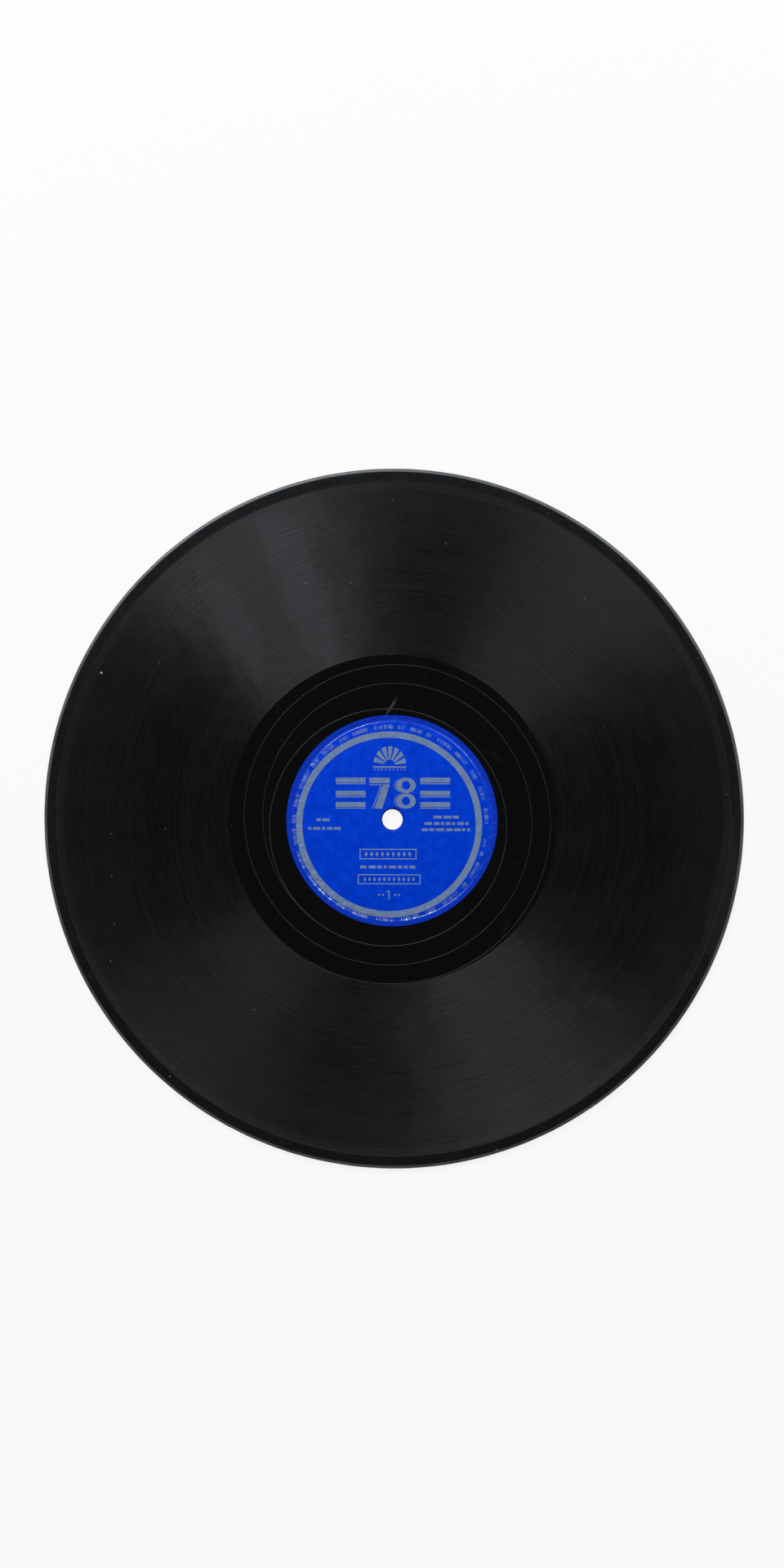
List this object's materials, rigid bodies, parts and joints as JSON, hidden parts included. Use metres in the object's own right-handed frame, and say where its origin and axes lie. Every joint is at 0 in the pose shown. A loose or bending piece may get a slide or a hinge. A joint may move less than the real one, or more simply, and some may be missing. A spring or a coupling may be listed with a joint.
{
  "type": "phonograph record",
  "caption": "Flat round shellac disc with a spindle hole, a raised rim, a spiral groove on each face and a paper label pressed into each face.",
  "frame": {"origin": "on the spindle axis, in the plane that the underside of the raised rim rests on", "axes": "+Z along the spindle axis with side A up, +X to the right and +Y to the top of the label on side A"},
  "size_m": [0.251, 0.251, 0.0024],
  "materials": {
    "shellac": "glossy black pressed shellac compound with a fine grooved band",
    "label_paper": "uncoated blue paper with silver print, pressed flat into the disc"
  },
  "bodies": {
    "root": {"disc": "shellac", "label_side_a": "label_paper", "label_side_b": "label_paper"}
  },
  "joints": []
}
